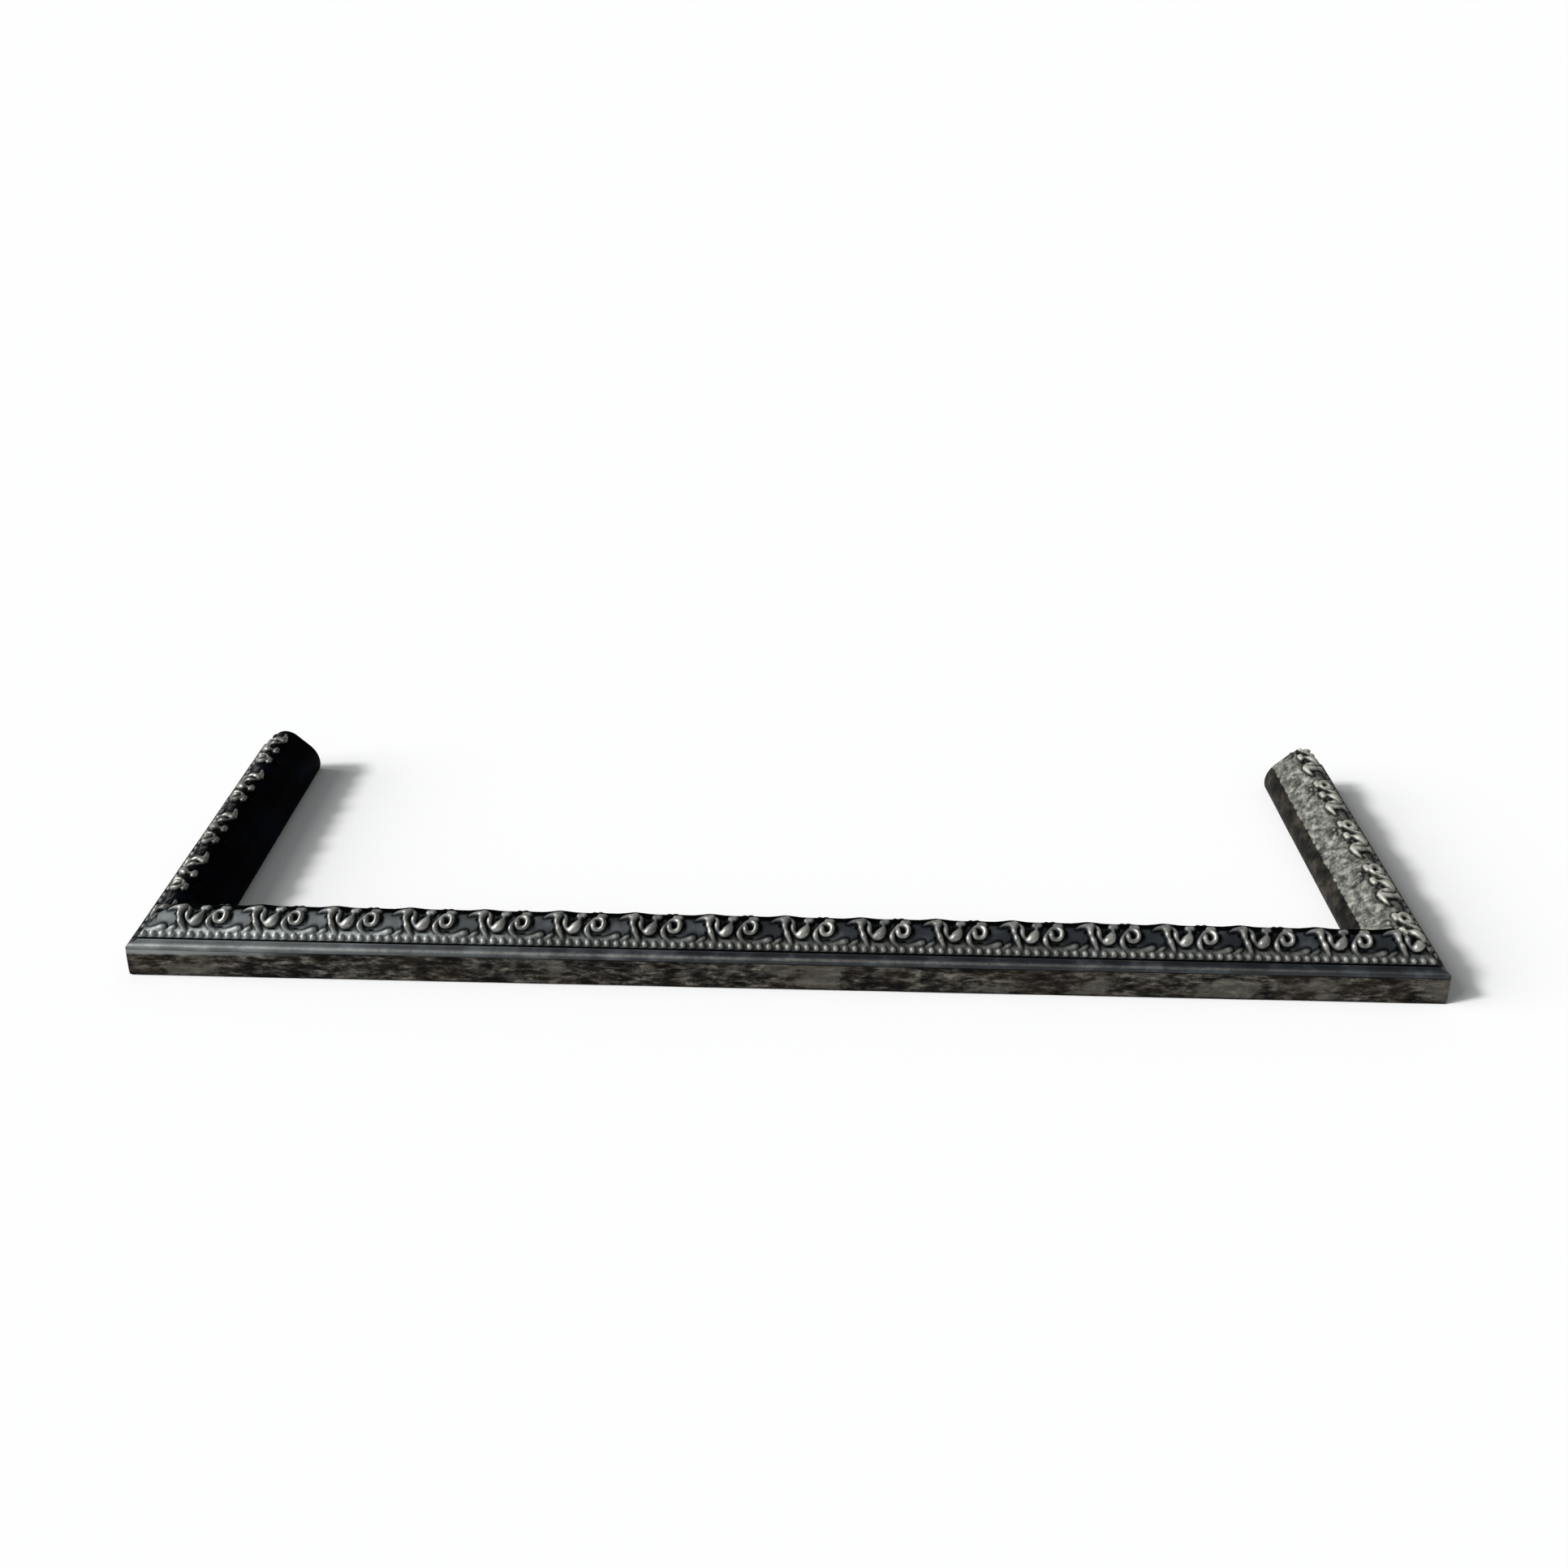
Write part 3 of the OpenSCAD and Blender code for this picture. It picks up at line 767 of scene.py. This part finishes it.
def seam_iron():
    """Filed faces of the mitres, black with old polish that has run in."""
    material, tree = new_material("black_mitre_joint_iron")
    file_marks = noise(tree, object_coords(tree), 1.6, 3, 0.5, (0.2, 1.0, 1.0))
    colour = ramp(tree, file_marks, (0.35, "#050506"), (0.65, "#161617"))
    finish_skin(tree, colour, 0.7, 0.1, [(file_marks, 0.3, 0.1)], 0.2)
    return material


def wrought_iron():
    """Corner plates of flat wrought iron: mill scale, blue-grey, with rust along the grain."""
    material, tree = new_material("wrought_iron_mill_scale")
    at = object_coords(tree)
    cloud, grain = noise(tree, at, 9, 5), noise(tree, at, 1.2, 3)
    colour = ramp(tree, cloud, (0.35, "#2e3033"), (0.55, "#45413c"), (0.7, "#6b4a33"))
    finish_skin(tree, colour, spread(tree, cloud, 0.3, 0.7, 0.5, 0.8), 0.5,
                [(cloud, 0.3, 0.2), (grain, 0.4, 0.08)])
    return material


def screw_steel():
    """Turned mild steel of the screws and washers: dull grey with rust freckles."""
    material, tree = new_material("turned_mild_steel")
    at = object_coords(tree)
    freckle, grain = noise(tree, at, 2.2, 4), noise(tree, at, 0.6, 3)
    colour = ramp(tree, freckle, (0.42, "#8a8883"), (0.6, "#6d6155"), (0.72, "#6a3f25"))
    finish_skin(tree, colour, spread(tree, freckle, 0.4, 0.7, 0.38, 0.75), 0.85,
                [(grain, 0.3, 0.05)])
    return material


# ---- Pieces ------------------------------------------------------------------------

TILE = repeat_tile()
HALF_W, HALF_D = OVERALL_W / 2, OVERALL_D / 2

front_skin, left_skin, right_skin = front_iron(), left_return_iron(), right_return_iron()
plinth_skin, raw_skin, seam_skin = plinth_iron(), raw_iron(), seam_iron()

front = Casting(OVERALL_W, FRONT_START, True, True, seed=11, humps=1.0).build()
front.bosses([NEAR_X, FAR_X, OVERALL_W - FAR_X, OVERALL_W - NEAR_X])
front.piece("front_moulding", Matrix.Translation((-HALF_W * MM, -HALF_D * MM, 0)),
            [plinth_skin, front_skin, raw_skin, seam_skin], "front_rail")

left = Casting(OVERALL_D, RETURN_START, False, True, seed=23, over=RETURN_OVER).build()
left.bosses([OVERALL_D - FAR_X, OVERALL_D - NEAR_X])
left.piece("left_return_moulding",
           Matrix.Translation((-HALF_W * MM, HALF_D * MM, 0)) @ Matrix.Rotation(-pi / 2, 4, "Z"),
           [plinth_skin, left_skin, raw_skin, seam_skin], "left_return")

right = Casting(OVERALL_D, RETURN_START, True, False, seed=37, over=RETURN_OVER).build()
right.bosses([NEAR_X, FAR_X])
right.piece("right_return_moulding",
            Matrix.Translation((HALF_W * MM, -HALF_D * MM, 0)) @ Matrix.Rotation(pi / 2, 4, "Z"),
            [plinth_skin, right_skin, raw_skin, seam_skin], "right_return")

plate_skin, fastener_skin = wrought_iron(), screw_steel()
for name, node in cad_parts.items():
    if name.endswith("_plate"):
        skin = plate_skin
    elif name.endswith("_washers") or name.endswith("_screws"):
        skin = fastener_skin
    else:
        continue
    for slot in node.material_slots:
        slot.material = skin

# ---- Floor, light and camera -------------------------------------------------------

FLOOR_HALF, FLOOR_DROP = 40, 0.0004
# Reflectance of the paper in what it lights, and as the camera sees it
PAPER_LIT, PAPER_SEEN = (0.9, 0.9, 0.9, 1), (0.99, 0.99, 0.99, 1)

floor_mesh = bpy.data.meshes.new("floor")
floor_mesh.from_pydata([(-FLOOR_HALF, -FLOOR_HALF, 0), (FLOOR_HALF, -FLOOR_HALF, 0),
                        (FLOOR_HALF, FLOOR_HALF, 0), (-FLOOR_HALF, FLOOR_HALF, 0)],
                       [], [(0, 1, 2, 3)])
floor = bpy.data.objects.new("floor", floor_mesh)
floor.location.z = -FLOOR_DROP
bpy.context.scene.collection.objects.link(floor)
paper, tree = new_material("white_seamless_paper")
seen = add(tree, "ShaderNodeLightPath").outputs["Is Camera Ray"]
shader = add(tree, "ShaderNodeBsdfDiffuse", Color=blend(tree, seen, PAPER_LIT, PAPER_SEEN))
out = add(tree, "ShaderNodeOutputMaterial")
tree.links.new(shader.outputs[0], out.inputs["Surface"])
floor_mesh.materials.append(paper)


def sun(name, azimuth, elevation, strength, angle):
    """A soft light from far away. azimuth is where it comes from, 0 at +X and 90 at +Y."""
    lamp = bpy.data.lights.new(name, "SUN")
    lamp.energy = strength
    lamp.angle = radians(angle)
    holder = bpy.data.objects.new(name, lamp)
    a, e = radians(azimuth), radians(elevation)
    towards = Vector((-cos(a) * cos(e), -sin(a) * cos(e), -sin(e)))
    holder.rotation_euler = towards.to_track_quat("-Z", "Y").to_euler()
    bpy.context.scene.collection.objects.link(holder)


sun("window_side_light", azimuth=189, elevation=35, strength=2.58, angle=9)
sun("broad_side_light", azimuth=189, elevation=30.5, strength=2.1, angle=42)

world = bpy.data.worlds.new("studio")
bpy.context.scene.world = world
world.use_nodes = True
background = world.node_tree.nodes["Background"]
background.inputs["Color"].default_value = (0.97, 0.99, 1.0, 1)
background.inputs["Strength"].default_value = 0.195

# Camera, solved from the fender's own edges in the photo: seat in metres, turn, dip and
# roll, and the focal length in pixels of its frame
SEAT = Vector((0.01318, -0.99947, 0.85047))
TURN, DIP, ROLL = radians(-0.978), radians(36.071), radians(0.569)
FOCAL_PX, FRAME_PX, SENSOR_MM = 1429.12, 1932, 36
ahead = Vector((sin(TURN) * cos(DIP), cos(TURN) * cos(DIP), -sin(DIP)))
level = Vector((cos(TURN), -sin(TURN), 0))
above = level.cross(ahead)
side = cos(ROLL) * level + sin(ROLL) * above
up = -sin(ROLL) * level + cos(ROLL) * above
lens = bpy.data.cameras.new("camera")
lens.sensor_width = SENSOR_MM
lens.lens = FOCAL_PX * SENSOR_MM / FRAME_PX
lens.clip_end = 200
camera = bpy.data.objects.new("camera", lens)
turned = Matrix((side, up, -ahead)).transposed().to_4x4()
camera.matrix_world = Matrix.Translation(SEAT) @ turned
bpy.context.scene.collection.objects.link(camera)
bpy.context.scene.camera = camera
bpy.context.scene.view_settings.view_transform = "Standard"

bpy.context.view_layer.update()
